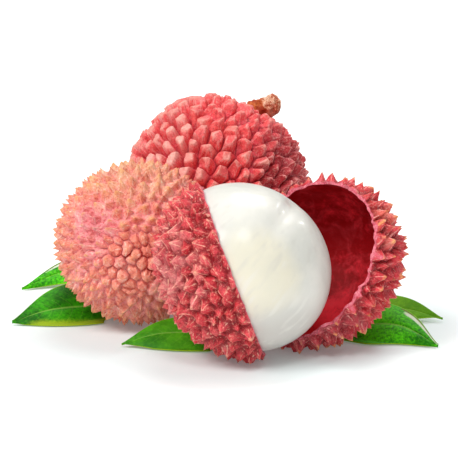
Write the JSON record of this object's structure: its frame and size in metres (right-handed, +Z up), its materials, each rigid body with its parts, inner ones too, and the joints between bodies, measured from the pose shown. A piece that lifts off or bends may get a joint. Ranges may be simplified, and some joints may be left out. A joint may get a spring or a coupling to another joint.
{
  "type": "bunch of lychees",
  "caption": "Bunch of lychees lying together: whole spiny and plated red fruits, an opened fruit with glossy white flesh in its split peel, and pointed green leaves.",
  "frame": {"origin": "middle of the bunch's footprint on the surface that it lies on", "axes": "+Z up, -Y towards the side that shows the opened fruit, +X to the right seen from there"},
  "size_m": [0.0846, 0.0904, 0.0397],
  "materials": {
    "peel_coral": "thin leathery peel with fine pointed tubercles, coral pink and salmon, dull satin",
    "peel_rose": "leathery peel with blunt plate-like tubercles, rosy red with worn salmon tips, satin",
    "peel_crimson": "spiny peel, crimson and purplish pink with pale ridges outside, smooth deep red inside",
    "flesh": "wet glossy translucent white fruit flesh",
    "stalk": "rough dry brown stub with a pale broken end",
    "leaf": "smooth waxy green leaf, glossy above"
  },
  "bodies": {
    "root": {"fruit_left": "peel_coral", "fruit_back": "peel_rose", "stalk": "stalk", "peel_left": "peel_crimson", "peel_right": "peel_crimson", "flesh": "flesh", "leaf_left_rear": "leaf", "leaf_left_front": "leaf", "leaf_front": "leaf", "leaf_right_front": "leaf", "leaf_right_rear": "leaf"}
  },
  "joints": []
}
